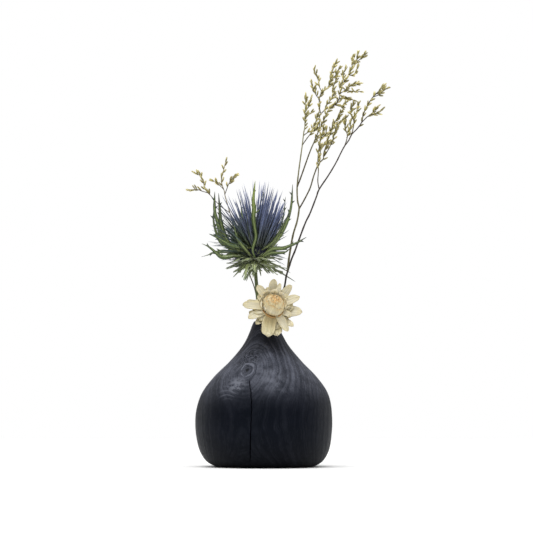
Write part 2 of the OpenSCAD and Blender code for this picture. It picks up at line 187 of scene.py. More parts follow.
def round_rings(line, radius, sides, face, flat=1.0, ribs=0.0):
    """Rings of points about a line, and how far across it each point of a ring lies.
    `flat` squeezes the rings, `ribs` raises every second point."""
    _, s, f = axes(line, face)
    a = np.arange(sides) * 2 * math.pi / sides
    r = radius[:, None, None] * (1 + ribs * np.cos(a * sides / 2))[None, :, None]
    return line[:, None] + r * (np.cos(a)[:, None] * s[:, None]
                                + flat * np.sin(a)[:, None] * f[:, None]), np.cos(a)


class Shells:
    """Closed shells gathered into one mesh, with (along, across, chance) at every point."""

    def __init__(self):
        self.points, self.faces, self.marks, self.count = [], [], [], 0

    def add(self, rings, along, across, chance, tip=None):
        rings = np.asarray(rings, float)
        m, n = rings.shape[:2]
        pts = rings.reshape(-1, 3)
        mark = np.stack([np.broadcast_to(np.asarray(along, float)[:, None], (m, n)),
                         np.broadcast_to(np.asarray(across, float), (m, n)),
                         np.full((m, n), chance)], 2).reshape(-1, 3)
        faces = [(i * n + k, i * n + (k + 1) % n, (i + 1) * n + (k + 1) % n, (i + 1) * n + k)
                 for i in range(m - 1) for k in range(n)]
        faces.append(tuple(range(n - 1, -1, -1)))
        e = (m - 1) * n
        if tip is None:
            faces.append(tuple(range(e, e + n)))
        else:
            pts = np.vstack([pts, tip])
            mark = np.vstack([mark, [1, 0, chance]])
            faces += [(e + k, e + (k + 1) % n, m * n) for k in range(n)]
        c = pts.mean(0)
        volume = sum(np.dot(pts[f[0]] - c, np.cross(pts[f[k]] - c, pts[f[k + 1]] - c))
                     for f in faces for k in range(1, len(f) - 1))
        if volume < 0:
            faces = [f[::-1] for f in faces]
        self.faces += [tuple(i + self.count for i in f) for f in faces]
        self.points.append(pts)
        self.marks.append(mark)
        self.count += len(pts)

    def piece(self, name, body, material, slot, *nodes):
        mesh = bpy.data.meshes.new(name)
        mesh.from_pydata((np.vstack(self.points) * MM).tolist(), [], self.faces)
        mesh.polygons.foreach_set("use_smooth", [True] * len(mesh.polygons))
        marks = mesh.attributes.new("leaf", "FLOAT_VECTOR", "POINT")
        marks.data.foreach_set("vector", np.vstack(self.marks).ravel())
        mesh.materials.append(material)
        mesh.update()
        obj = bpy.data.objects.new(name, mesh)
        bpy.context.scene.collection.objects.link(obj)
        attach(obj, body)
        if nodes:
            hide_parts(*nodes)


def tube(shells, line, radius, sides, chance, ribs=0.0):
    """A round stem."""
    rings, across = round_rings(line, radius, sides, (0.3, 1, 0.05), ribs=ribs)
    shells.add(rings, np.linspace(0, 1, len(line)), across, chance)


def blade(shells, spine, half, face, rows, cols, thick, cup=0.0, wave=0.0, rib=0.0,
          teeth=None, chance=0.5, blunt=False, frill=0.0):
    """A thin leaf or petal. `half` gives the half width from 0 at the root to 1 at the tip;
    `teeth` gives, for a row and a side, how far the edge stands out and leans forward;
    `frill` waves the rim of a blunt tip."""
    q = np.linspace(0, 1, rows + 1)
    if blunt:
        q = 1 - (1 - q) ** 1.5
    steps = 60
    line = smooth(spine, steps)
    line = np.stack([np.interp(q, np.linspace(0, 1, steps), line[:, k]) for k in range(3)], 1)
    t, s, f = axes(line, face)
    u = np.linspace(-1, 1, cols)
    phase = chance * 40
    rings = []
    for i in range(rows):
        w = half(q[i])
        top, low = [], []
        for k, c in enumerate(u):
            side, out, lean = (1 if c > 0 else -1), 0.0, 0.0
            if teeth and abs(c) == 1:
                out, lean = teeth(i, side)
            lift = (cup * (1 - c * c) * math.sin(math.pi * min(1, q[i] * 1.1 + 0.05))
                    + wave * c * abs(c) * math.sin(q[i] * 9 + phase * side)
                    + wave * 0.5 * math.sin(q[i] * 6 + phase))
            bulge = rib * max(0, 1 - abs(c) * 2.5)
            rim = frill * q[i] ** 5
            p = (line[i] + s[i] * (c * w + side * out)
                 + f[i] * (lift + rim * math.cos(c * 7 + phase))
                 + t[i] * (lean + rim * math.sin(c * 9 + phase)))
            h = thick / 2 * math.sqrt(max(0, 1 - c * c) * 0.8 + 0.04) * (1 - 0.4 * q[i])
            top.append(p + f[i] * (h + bulge))
            if 0 < k < cols - 1:
                low.append(p - f[i] * (h + bulge * 0.6))
        rings.append(top + low[::-1])
    across = np.concatenate([u, u[1:-1][::-1]])
    tip = (line[-1] + f[-1] * (wave * 0.5 * math.sin(6 + phase) + frill * math.cos(phase))
           + t[-1] * (frill * math.sin(phase)))
    shells.add(rings, q[:rows], across, chance, tip)


def turned(shells, profile, centre, axis, side, sides):
    """A turned solid about an axis. The profile is (radius, height) from one pole to the other."""
    axis, side = unit(axis), unit(side)
    other = np.cross(axis, side)
    a = np.arange(sides) * 2 * math.pi / sides
    ring = np.cos(a)[:, None] * side + np.sin(a)[:, None] * other
    rings = [np.asarray(centre) + h * axis + max(r, 0.02) * ring for r, h in profile]
    shells.add(rings, np.linspace(0, 1, len(rings)), np.cos(a), 0.5)


# ---------------------------------------------------------------- materials
def rgb(r, g, b):
    """A colour given in the 0 to 255 steps of a screen."""
    return tuple((c / 255 / 12.92) if c <= 10 else ((c / 255 + 0.055) / 1.055) ** 2.4
                 for c in (r, g, b)) + (1.0,)


class Nodes:
    """Adds nodes to a shader tree. Every method gives back the new node's output."""

    def __init__(self, tree):
        self.tree = tree

    def node(self, kind, inputs=(), out=0, **props):
        n = self.tree.nodes.new("ShaderNode" + kind)
        for key, value in props.items():
            setattr(n, key, value)
        for k, value in (inputs.items() if isinstance(inputs, dict) else enumerate(inputs)):
            if isinstance(value, bpy.types.NodeSocket):
                self.tree.links.new(value, n.inputs[k])
            else:
                n.inputs[k].default_value = value
        return n.outputs[out]

    def math(self, op, a, b=0.0):
        return self.node("Math", (a, b), operation=op)

    def times(self, a, b):
        return self.math("MULTIPLY", a, b)

    def plus(self, a, b):
        return self.math("ADD", a, b)

    def wave(self, v, k):
        return self.math("SINE", self.times(v, k))

    def length(self, a, b):
        return self.math("SQRT", self.plus(self.times(a, a), self.times(b, b)))

    def vec(self, op, a, b, out=0):
        return self.node("VectorMath", (a, b), out, operation=op)

    def scaled(self, v, k):
        return self.node("VectorMath", {0: v, "Scale": k}, operation="SCALE")

    def split(self, v):
        return self.node("SeparateXYZ", (v,), slice(3))

    def join(self, x, y, z):
        return self.node("CombineXYZ", (x, y, z))

    def noise(self, v, scale, detail=2.0, rough=0.5, out=0):
        return self.node("TexNoise", {"Vector": v, "Scale": scale, "Detail": detail,
                                      "Roughness": rough}, out)

    def fit(self, v, a, b, c=0.0, d=1.0, curve="SMOOTHSTEP"):
        return self.node("MapRange", {"Value": v, "From Min": a, "From Max": b, "To Min": c,
                                      "To Max": d}, interpolation_type=curve)

    def near(self, p, at, far, close):
        """1 within `close` of a point, and 0 beyond `far`."""
        return self.fit(self.vec("DISTANCE", p, at, 1), far, close)

    def mix(self, f, a, b):
        return self.node("Mix", {0: f, 6: a, 7: b}, 2, data_type="RGBA")

    def ramp(self, f, stops):
        n = self.tree.nodes.new("ShaderNodeValToRGB")
        e = n.color_ramp.elements
        while len(e) < len(stops):
            e.new(0.5)
        for k, (at, *colour) in enumerate(stops):
            e[k].position, e[k].color = at, rgb(*colour)
        self.tree.links.new(f, n.inputs[0])
        return n.outputs[0]


class Net(Nodes):
    """A node material built round one Principled shader."""

    def __init__(self, name, **fixed):
        self.material = bpy.data.materials.new(name)
        self.material.use_nodes = True
        super().__init__(self.material.node_tree)
        self.shader = self.tree.nodes["Principled BSDF"]
        for key, value in fixed.items():
            key = key.replace("_", " ").title().replace("Ior", "IOR")
            self.shader.inputs[key].default_value = value

    def place(self):
        """The surface point in millimetres, in the part's own frame."""
        return self.scaled(self.node("TexCoord", out=3), 1000.0)

    def finish(self, colour, rough, height, depth, strength=1.0):
        bump = self.node("Bump", {"Strength": strength, "Distance": depth * MM,
                                  "Height": height})
        for socket, value in (("Base Color", colour), ("Roughness", rough), ("Normal", bump)):
            self.tree.links.new(value, self.shader.inputs[socket])
        return self.material


def stained_wood():
    """Turned wood stained blue-black: growth rings round an upright pith that comes out of
    the shoulder at a knot, fine fibres, a burr figure beside the knot, and painted light and
    highlights on the shoulder."""
    m = Net("stained_wood", specular_ior_level=0.1, specular_tint=(0.78, 0.88, 1.0, 1.0))
    p = m.place()
    fx, fy, fz = m.split(p)

    def drift(scale, reach):
        off = m.vec("SUBTRACT", m.noise(p, scale, 2.0, out=1), (0.5, 0.5, 0.5))
        return m.scaled(off, reach)

    def patches(scale, detail, a, b, least=0.0, most=1.0):
        return m.fit(m.noise(p, scale, detail), a, b, least, most)

    # growth rings by the distance from the pith, which leans a little
    x, y, z = m.split(m.vec("ADD", p, m.vec("ADD", drift(0.028, 9.0), drift(0.16, 1.6))))
    rho = m.length(m.plus(x, m.fit(z, 0, 112, 10, 14.5, "LINEAR")), m.plus(y, 32.0))
    pace = m.plus(rho, m.fit(m.noise(m.join(rho, 0.0, 0.0), 0.22, 1.0), 0.3, 0.7, -1.4, 1.4))
    rings = m.fit(m.wave(pace, 1.35), -0.6, 1.0)
    fine = m.times(m.fit(m.wave(pace, 4.3), -0.5, 1.0), patches(0.17, 2.0, 0.36, 0.6, 0.1))
    # fibres run up the wood
    fibre = m.noise(m.join(m.times(fx, 1.4), m.times(fy, 1.4), m.times(fz, 0.11)),
                    1.0, 4.0, 0.62)
    # the knot: a dark slanted eye in a pale ring, with broken figure above its left
    kx, kz = m.plus(fx, 13.0), m.plus(fz, -74.4)
    kr = m.length(m.plus(kx, m.times(kz, -0.55)), m.plus(m.times(kz, 0.9), m.times(kx, 0.35)))
    kr = m.plus(kr, patches(0.13, 1.0, 0.3, 0.7, -0.7, 0.7))
    front = m.fit(fy, -10.0, -24.0)
    eye = m.times(m.fit(kr, 2.1, 0.7), front)
    halo = m.times(m.times(m.fit(kr, 4.2, 4.9), m.fit(kr, 5.8, 5.1)), front)
    burr = m.times(m.near(p, (-14.0, -26.0, 86.0), 14.0, 7.0), patches(0.8, 2.0, 0.49, 0.58))
    # painted highlights: two pale patches on the front of the shoulder where the top light
    # reflects
    glow = m.times(m.near(p, (-22.0, -40.0, 64.0), 10.0, 3.0), patches(0.3, 2.0, 0.35, 0.6))
    painted_sheen = m.times(m.near(p, (6.0, -42.0, 67.0), 17.0, 3.0), patches(0.2, 3.0, 0.3, 0.65))
    # small arched figure low on the left of the shoulder
    arc = m.wave(m.length(m.plus(x, 29.0), m.plus(z, -44.0)), 1.9)
    arch = m.times(m.near(p, (-27.5, -39.0, 57.0), 10.0, 5.0),
                   m.times(m.fit(arc, 0.2, 1.0), m.fit(fz, 50.0, 56.0)))
    # near-black stain below, darker toward the foot; painted light makes the shoulder above the
    # belly greyer where the overhead light falls, dark again at the neck
    shoulder_light = m.times(m.fit(fz, 48.0, 76.0, 0.06, 1.0), m.fit(fz, 98.0, 82.0, 0.3, 1.0))
    patch = patches(0.05, 3.0, 0.35, 0.7)
    low = m.mix(patch, rgb(4, 7, 16), rgb(8, 11, 21))
    low = m.mix(m.fit(fz, 30.0, 6.0, 0.0, 0.9), low, rgb(3, 3, 8))
    high = m.mix(patch, rgb(42, 44, 53), rgb(60, 62, 72))
    high = m.mix(m.fit(fz, 80.0, 92.0, 0.0, 0.9), high, rgb(22, 22, 28))
    c = m.mix(m.fit(fz, 40.0, 76.0), low, high)
    band = m.times(rings, patches(0.06, 2.0, 0.38, 0.62, 0.15, 0.95))
    # grain and figure over the stain; the grain lines are lightened only under the painted
    # shoulder light, and two pale patches are painted highlights
    for part, amount, colour in (
            (m.times(band, shoulder_light), 0.5, (92, 95, 107)),
            (m.times(fine, shoulder_light), 0.3, (122, 125, 138)),
            (m.times(m.fit(fibre, 0.52, 0.72), shoulder_light), 0.4, (112, 115, 127)),
            (m.fit(fibre, 0.46, 0.3), 0.5, (10, 11, 16)),
            (burr, 0.85, (12, 13, 18)),
            (glow, 0.5, (136, 139, 150)),
            (painted_sheen, 0.32, (124, 127, 139)),
            (arch, 0.36, (100, 103, 114)),
            (halo, patches(0.22, 2.0, 0.38, 0.62, 0.1, 0.75), (112, 115, 127)),
            (eye, 0.95, (7, 7, 10))):
        c = m.mix(m.times(part, amount), c, rgb(*colour))
    rough = m.plus(m.fit(fibre, 0.3, 0.7, 0.58, 0.44), m.times(rings, 0.05))
    raised = m.plus(m.times(fibre, 0.7), m.times(rings, 0.5))
    sunk = m.plus(m.times(eye, 0.8), m.times(burr, 0.4))
    return m.finish(c, rough, m.math("SUBTRACT", raised, sunk), 0.18, 0.6)


def plant(name, stops, edge=None, rib=None, rough=(0.45, 0.65), streak=(5.0, 0.7), vary=0.3,
          mottle=0.25, bump=0.1, fleck=None, **fixed):
    """Dried plant matter. Colour runs from root to tip, varies from leaf to leaf, and has
    lengthwise streaks; `edge` and `rib` tint the margin and the midrib."""
    m = Net(name, **fixed)
    along, across, chance = m.split(m.node("Attribute", out=1, attribute_name="leaf"))
    side = m.math("ABSOLUTE", across)
    lines = m.noise(m.join(m.times(across, streak[0]), m.times(along, streak[1] * 4),
                           m.times(chance, 90.0)), 1.0, 3.0, 0.6)
    spots = m.noise(m.place(), 0.7, 3.0)
    c = m.ramp(m.plus(along, m.fit(spots, 0.25, 0.75, -mottle / 2, mottle / 2, "LINEAR")),
               stops)
    if rib:
        c = m.mix(m.fit(side, 0.22, 0.04, 0.0, 0.65), c, rgb(*rib))
    if edge:
        c = m.mix(m.fit(side, 0.62, 0.98, 0.0, 0.8), c, rgb(*edge))
    if fleck:
        c = m.mix(m.fit(m.noise(m.place(), 1.6, 2.0), 0.56, 0.68, 0.0, 0.8), c, rgb(*fleck))
    shade = m.times(m.fit(chance, 0.0, 1.0, 1 - vary, 1 + vary, "LINEAR"),
                    m.fit(lines, 0.25, 0.75, 0.72, 1.22, "LINEAR"))
    return m.finish(m.scaled(c, shade), m.fit(lines, 0.3, 0.7, rough[1], rough[0], "LINEAR"),
                    m.plus(lines, m.times(spots, 0.5)), bump)


def soft(weight, scale):
    """A little light passes through thin dry petals, nearly alike for all three colours."""
    return {"subsurface_weight": weight, "subsurface_scale": scale,
            "subsurface_radius": (1.0, 0.85, 0.6)}


WOOD = stained_wood()
HOLLY_STEM = plant(
    "holly_stem", [(0, 78, 74, 44), (0.6, 84, 92, 52), (1, 104, 116, 74)], streak=(6, 2),
    bump=0.15)
HEAD = plant(
    "holly_head", [(0, 70, 74, 50), (0.35, 44, 48, 66), (1, 30, 34, 72)], vary=0.35, bump=0.2)
NEEDLE = plant(
    "holly_needle", [(0, 68, 76, 62), (0.35, 78, 86, 98), (0.7, 98, 109, 146),
                     (1, 114, 123, 158)], streak=(2, 1), vary=0.6, bump=0.05)
NEEDLE_OUT = plant(
    "holly_needle_outer", [(0, 90, 102, 68), (0.4, 72, 88, 70), (0.75, 70, 84, 90),
                           (1, 84, 97, 112)], streak=(2, 1), vary=0.5, bump=0.05)
LEAF = plant(
    "holly_leaf", [(0, 132, 142, 92), (0.3, 98, 114, 64), (0.75, 74, 90, 52), (1, 50, 58, 56)],
    edge=(48, 58, 42), rib=(168, 180, 118), streak=(3.5, 1.0), vary=0.5, mottle=0.5, bump=0.15)
LEAF_FRONT = plant(
    "holly_leaf_front", [(0, 84, 100, 58), (0.55, 92, 110, 56), (1, 156, 172, 84)],
    edge=(54, 70, 40), rib=(176, 190, 118), vary=0.1, bump=0.15)
COLLAR = plant(
    "holly_collar", [(0, 178, 186, 130), (0.45, 158, 170, 112), (1, 112, 126, 98)],
    edge=(212, 220, 194), rib=(222, 228, 184), streak=(3, 1), vary=0.65, mottle=0.6, bump=0.15)
SPINE = plant(
    "holly_spine", [(0, 84, 94, 66), (0.5, 42, 52, 48), (1, 34, 40, 50)], streak=(2, 1), vary=0.4,
    bump=0.04)
STRAW_STEM = plant(
    "straw_stem", [(0, 112, 96, 60), (1, 140, 126, 82)], streak=(6, 2), bump=0.12)
STRAW_BACK = plant(
    "straw_back", [(0, 126, 100, 62), (0.5, 168, 142, 92), (1, 200, 180, 130)],
    edge=(214, 196, 150), bump=0.1)
PETAL = plant(
    "petal", [(0, 196, 172, 122), (0.25, 212, 200, 166), (0.7, 220, 211, 182),
              (1, 216, 202, 156)], edge=(220, 204, 150), streak=(7, 0.25), vary=0.07, mottle=0.25,
    bump=0.12, rough=(0.42, 0.6), **soft(0.15, 0.002))
PETAL_LOW = plant(
    "petal_low", [(0, 150, 128, 84), (0.45, 182, 166, 120), (0.8, 206, 194, 150),
                  (1, 226, 216, 180)], edge=(226, 212, 164), streak=(7, 0.25), vary=0.08,
    mottle=0.3, bump=0.12, rough=(0.42, 0.6), **soft(0.15, 0.002))
CUP = plant(
    "petal_cup", [(0, 230, 196, 132), (0.3, 250, 234, 188), (1, 252, 243, 212)],
    edge=(252, 238, 190), streak=(6, 0.25), vary=0.04, mottle=0.1, bump=0.08, rough=(0.4, 0.58),
    **soft(0.4, 0.003))
CENTRE = plant(
    "straw_centre", [(0, 142, 104, 58), (0.14, 206, 186, 142), (0.4, 224, 212, 178),
                     (0.82, 226, 208, 160), (1, 206, 160, 92)], edge=(230, 208, 156),
    streak=(6, 0.3), vary=0.06, mottle=0.16, bump=0.1, rough=(0.38, 0.55), **soft(0.12, 0.002))
LIPS = plant(
    "straw_lips", [(0, 226, 204, 150), (0.5, 214, 160, 84), (1, 236, 216, 170)],
    edge=(244, 232, 200), vary=0.2, bump=0.08)
RING = plant(
    "straw_ring", [(0, 186, 144, 84), (1, 172, 128, 70)], fleck=(208, 174, 112), bump=0.15)
CORE = plant(
    "straw_core", [(0, 150, 96, 34), (1, 196, 124, 40)], fleck=(120, 66, 20), bump=0.15)
DARK_STEM = plant(
    "dark_stem", [(0, 52, 44, 34), (0.3, 44, 37, 33), (1, 64, 52, 42)], streak=(5, 3), vary=0.1,
    bump=0.1)
PALE_STEM = plant(
    "pale_stem", [(0, 92, 86, 58), (0.5, 112, 108, 74), (1, 150, 146, 104)], streak=(5, 3),
    vary=0.2, bump=0.1)
TWIG = plant(
    "twig", [(0, 74, 64, 46), (0.5, 104, 98, 62), (1, 140, 134, 88)], streak=(4, 3), vary=0.35,
    bump=0.08)
SPRIG = plant(
    "sprig_stem", [(0, 70, 58, 44), (0.5, 98, 84, 62), (1, 178, 162, 118)], streak=(4, 3),
    vary=0.15, bump=0.08)
BUD = plant(
    "bud", [(0, 108, 102, 54), (0.35, 148, 140, 78), (0.7, 188, 178, 116), (1, 228, 219, 176)],
    streak=(4, 0.6), vary=0.42, mottle=0.3, bump=0.08, **soft(0.12, 0.001))


# ---------------------------------------------------------------- vase
def build_vase():
    tall, belly = 112, 50  # the height, and the radius at the crack
    outline = [(38, 0), (40, 0.8), (45, 4), (49, 10), (51.5, 18), (53, 32), (52, 46), (48, 58),
               (39, 70), (28, 81), (18, 93), (12.5, 103), (9.5, 110), (8.7, 111.6), (8.4, 112)]
    side = smooth(outline, 170)
    base = [(0.4, 0), (12, 0), (24, 0), (33, 0), (37, 0)]
    bore = [(8.0, 111.9), (7.7, 111.6), (7.5, 111.1), (7.5, 104), (7.5, 90), (7.5, 72),
            (7.5, 57), (7.3, 56.2), (6.8, 56), (3, 56), (0.4, 56)]
    profile = np.array(base + [tuple(p) for p in side] + bore)
    first, end = len(base), len(base) + len(side)
    half, deep = 0.58, 2.7  # half the crack's width, and its depth
    near = np.array([-8, -5, -3, -2, -1.4, -1.12, -1, -0.75, -0.4, 0,
                     0.4, 0.75, 1, 1.12, 1.4, 2, 3, 5, 8]) * half
    start = math.asin(-11 / belly)
    wide = [a for a in np.linspace(-math.pi, math.pi, 180, endpoint=False)
            if abs(a - start) > 8 * half / belly + 0.015]
    columns = sorted([(a, None) for a in wide] + [(start + d / belly, d) for d in near])
    rings, along = [], []
    for i, (r, z) in enumerate(profile):
        outer = first <= i < end and 2 < z < 100
        # the crack wanders a little, and runs out toward the knot
        x = np.interp(z, [4, 18, 34, 42, 50, 58, 64, 75],
                      [-10.9, -10.4, -9.6, -9.4, -9.8, -10.8, -12, -12])
        x += 0.14 * math.sin(z * 0.9) + 0.1 * math.sin(z * 2.3 + 1)
        here = math.asin(max(-0.9, min(0.9, x / r))) if outer else start
        if outer and z > 75:
            here = start + (math.asin(-12 / 34.5) - start) * max(0, (100 - z) / 25)
        open_ = min(1, max(0, (z - 2) / 10)) * min(1, max(0, (67 - z) / 3)) if outer else 0
        open_ = open_ * open_ * (3 - 2 * open_)
        # the turned shape is a little out of round, with faint tool waves
        off = np.interp(z, [0, 5, 25, 40, 60, 85, 100, 108],
                        [0, -0.3, -0.9, -0.9, 0.1, 0.7, 0.5, 0]) * (first <= i < end)
        r2 = r + (0.03 * math.sin(z * 4.1) if outer else 0)
        ring = []
        for a, d in columns:
            cut = 0.0
            if d is None:
                angle = a + (here - start) * math.exp(-((a - start) / 0.35) ** 2)
            else:
                width = 0.35 + 0.65 * open_ * (0.75 + 0.25 * math.sin(z * 0.13))
                angle = here + d * width / max(r, 20)
                if abs(d) < half:
                    cut = open_ * deep * (1 - (abs(d) / half) ** 2) ** 0.6
            ring.append((off + (r2 - cut) * math.sin(angle), -(r2 - cut) * math.cos(angle), z))
        rings.append(ring)
        along.append(z / tall)
    s = Shells()
    s.add(rings, along, np.zeros(len(columns)), 0.5)
    s.piece("turned_vase", "vase", WOOD, "stained_wood", "vase_body")


# ---------------------------------------------------------------- sea holly
HEART = np.array([-7.5, 9.5, 165.0])  # the middle of the seed head's foot


def toothed(rows, every, out, lean, skip=2):
    """Edge teeth for a leaf: every few rows one point stands out and leans forward."""
    def at(i, side):
        k = i + (1 if side > 0 else 0) * (every // 2)
        if skip < i < rows - 3 and k % every == 0:
            return out * (0.7 + 0.6 * rng.random()), lean
        return 0.0, 0.0
    return at


def width_of(wide, scale):
    """The half width along a leaf, from the CAD leaf's own widths, closing to a fine tip."""
    w = np.append(wide / 2, 0.12)
    x = np.linspace(0, 1, len(w))
    return lambda q: scale * np.interp(q, x, w)


def thorn(shells, root, tip, r, chance, rows, sides, bend=0.0):
    """A fine pointed spine, bent a little sideways."""
    root, tip = np.asarray(root, float), np.asarray(tip, float)
    way = unit(tip - root)
    off = unit(np.cross(way, (0.3, 0.2, 1)) + 1e-6)
    q = np.linspace(0, 1, rows + 1)[:-1]
    line = root + q[:, None] * (tip - root) + (bend * np.sin(q * math.pi))[:, None] * off
    line = np.vstack([line, tip])
    rad = r * (1 - np.linspace(0, 1, rows + 1)) ** 0.8
    rings, across = round_rings(line, rad, sides, (0.31, 0.9, 0.11))
    shells.add(rings[:-1], q, across, chance, tip)


def build_holly_head():
    s = Shells()
    rows = 46
    for line, r in tubes("holly_stem", 12):
        path = smooth(line, rows)
        run = np.linspace(0, 1, rows)
        rad = r.mean() * (1 + 0.05 * np.sin(run * 21) + 0.12 * np.exp(-((run - 0.8) / 0.02) ** 2))
        tube(s, path, np.minimum(rad, r.mean() * 1.1), 20, 0.5, ribs=0.05)
    s.piece("sea_holly_stem", "sea_holly", HOLLY_STEM, "holly_stem", "holly_stem")

    # seed head: an ovoid core under many small pointed florets
    low, high = [np.array(c) * 1000 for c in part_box("holly_head")]
    r0 = (high[0] - low[0]) / 2
    tall = high[2] - low[2]
    s = Shells()
    q = np.linspace(0.01, 0.99, 20)
    core = [(r0 * 0.86 * math.sin(math.pi * min(1, x ** 0.8)), low[2] + tall * x) for x in q]
    turned(s, core, (HEART[0], HEART[1], 0), (0, 0, 1), (1, 0, 0), 28)
    florets = 300
    for k in range(florets):
        v = 0.06 + 0.94 * (k + 0.5) / florets
        turn, th = k * GOLDEN, math.acos(1 - 1.8 * v)
        out = np.array([math.sin(th) * math.cos(turn), math.sin(th) * math.sin(turn),
                        math.cos(th)])
        mid = np.array([HEART[0], HEART[1], low[2] + tall * 0.47])
        root = mid + out * (r0 * 0.8, r0 * 0.8, tall * 0.4)
        tip = mid + out * (r0 * 1.02, r0 * 1.02, tall * 0.5) + (0, 0, 1.3)
        thorn(s, root, tip, 0.75, rng.random(), 3, 5)
    s.piece("sea_holly_head", "sea_holly", HEAD, "holly_head", "holly_head")


def build_needles():
    """A stout and a fine needle follow each CAD needle."""
    inner, outer = Shells(), Shells()
    more = []  # shorter ones that fan out to both sides
    for k in range(48):
        turn = math.radians(rng.uniform(135, 215) if k % 5 < 3 else rng.uniform(10, 70))
        lift = math.radians(rng.uniform(2, 58))
        way = toward(turn, lift)
        reach = (25 + 16 * math.sin(lift)) * rng.uniform(0.9, 1.05)
        more.append((HEART + 6 * way, HEART + reach * way))
    for root, tip in spindles("holly_needles") + more:
        way = tip - root
        lean = math.acos(min(1, way[2] / np.linalg.norm(way)))
        for j in range(2):
            to = tip + np.array([rng.gauss(0, 1.0 + 0.8 * j), rng.gauss(0, 1.0 + 0.8 * j),
                                 rng.uniform(-14, -4) * j + 0.6])
            frm = root + np.array([rng.uniform(-1, 1) for _ in range(3)]) * 1.1
            if to[1] < 3 and abs(to[0] + 8) < 5:  # leave the front bract in view
                to[0] += 6 if to[0] > -8 else -6
            bow = unit(np.cross(to - frm, (rng.random() - 0.5, rng.random() - 0.5, 0.4)))
            bow = bow * rng.uniform(-1.2, 1.2)
            g = np.linspace(0, 1, 9)
            line = frm + g[:, None] * (to - frm) + np.sin(g * math.pi)[:, None] * bow
            rad = (0.72, 0.44)[j] * (0.75 + 0.5 * np.sin(math.pi * np.minimum(1, g * 1.4 + 0.15)))
            rad = rad * (1 - g) ** 0.36
            into = outer if lean > 0.5 + 0.35 * rng.random() else inner
            chance = rng.random()
            rings, across = round_rings(line, rad, 5, (0.3, 1, 0.1), 0.7)
            into.add(rings[:-1], g[:-1] * 0.97, across, chance, line[-1])
            for _ in range(4):  # fine barbs on its lower half
                part = rng.uniform(0.1, 0.5)
                at = frm + part * (to - frm) + math.sin(part * math.pi) * bow
                out = unit(np.cross(way, [rng.random() - 0.5 for _ in range(3)]))
                barb = unit(way) * rng.uniform(1.4, 2.4) + out * rng.uniform(0.7, 1.2)
                thorn(into, at, at + barb, 0.2, min(1, chance + 0.1), 2, 3)
    inner.piece("sea_holly_needles", "sea_holly", NEEDLE, "holly_needle", "holly_needles")
    outer.piece("sea_holly_needles_outer", "sea_holly", NEEDLE_OUT, "holly_needle",
                "holly_needles")


def build_bracts():
    """Long bracts with spiny margins and a raised midrib. A pale one stands in front."""
    for node, name in (("holly_bracts_left", "sea_holly_bracts_left"),
                       ("holly_bracts_right", "sea_holly_bracts_right")):
        s, lit = Shells(), Shells()
        for line, wide in leaves(node):
            rows = int(length_of(line) * 1.1)
            pale = abs(line[-1][0] + 7) < 3 and line[-1][2] > 215
            if pale:
                line = line - np.sin(np.linspace(0, 1, len(line)) * math.pi)[:, None] * (0, 2.6, 0)
                blade(lit, line,
                      lambda q: 0.06 + 1.6 * min(1, 0.5 + q) * min(1, (1 - q) / 0.35) ** 0.8,
                      (0.1, -1, 0.25), rows, 7, 0.7, 0.5, wave=0.4, rib=0.22,
                      teeth=toothed(rows, 23, 0.5, 1), chance=rng.random())
                at = line[-3] * 0.6 + line[-4] * 0.4
                blade(lit, [at, at + (2.2, -0.3, 0.2), at + (4.6, -0.6, 2.4)],
                      lambda q: 0.9 * (1 - q) + 0.05, (0.1, -1, 0.25), 8, 5, 0.5, chance=0.4)
            else:
                half = width_of(wide, 1.1)
                blade(s, line, lambda q: half(q) * (0.55 + 0.45 * min(1, q / 0.5)),
                      (0.1, -1, 0.25), rows, 7, 0.7, 0.5, wave=0.7, rib=0.22,
                      teeth=toothed(rows, 15, 1.5, 1.8), chance=rng.random())
        s.piece(name, "sea_holly", LEAF, "holly_leaf", node)
        if lit.count:
            lit.piece("sea_holly_front_bract", "sea_holly", LEAF_FRONT, "holly_leaf", node)


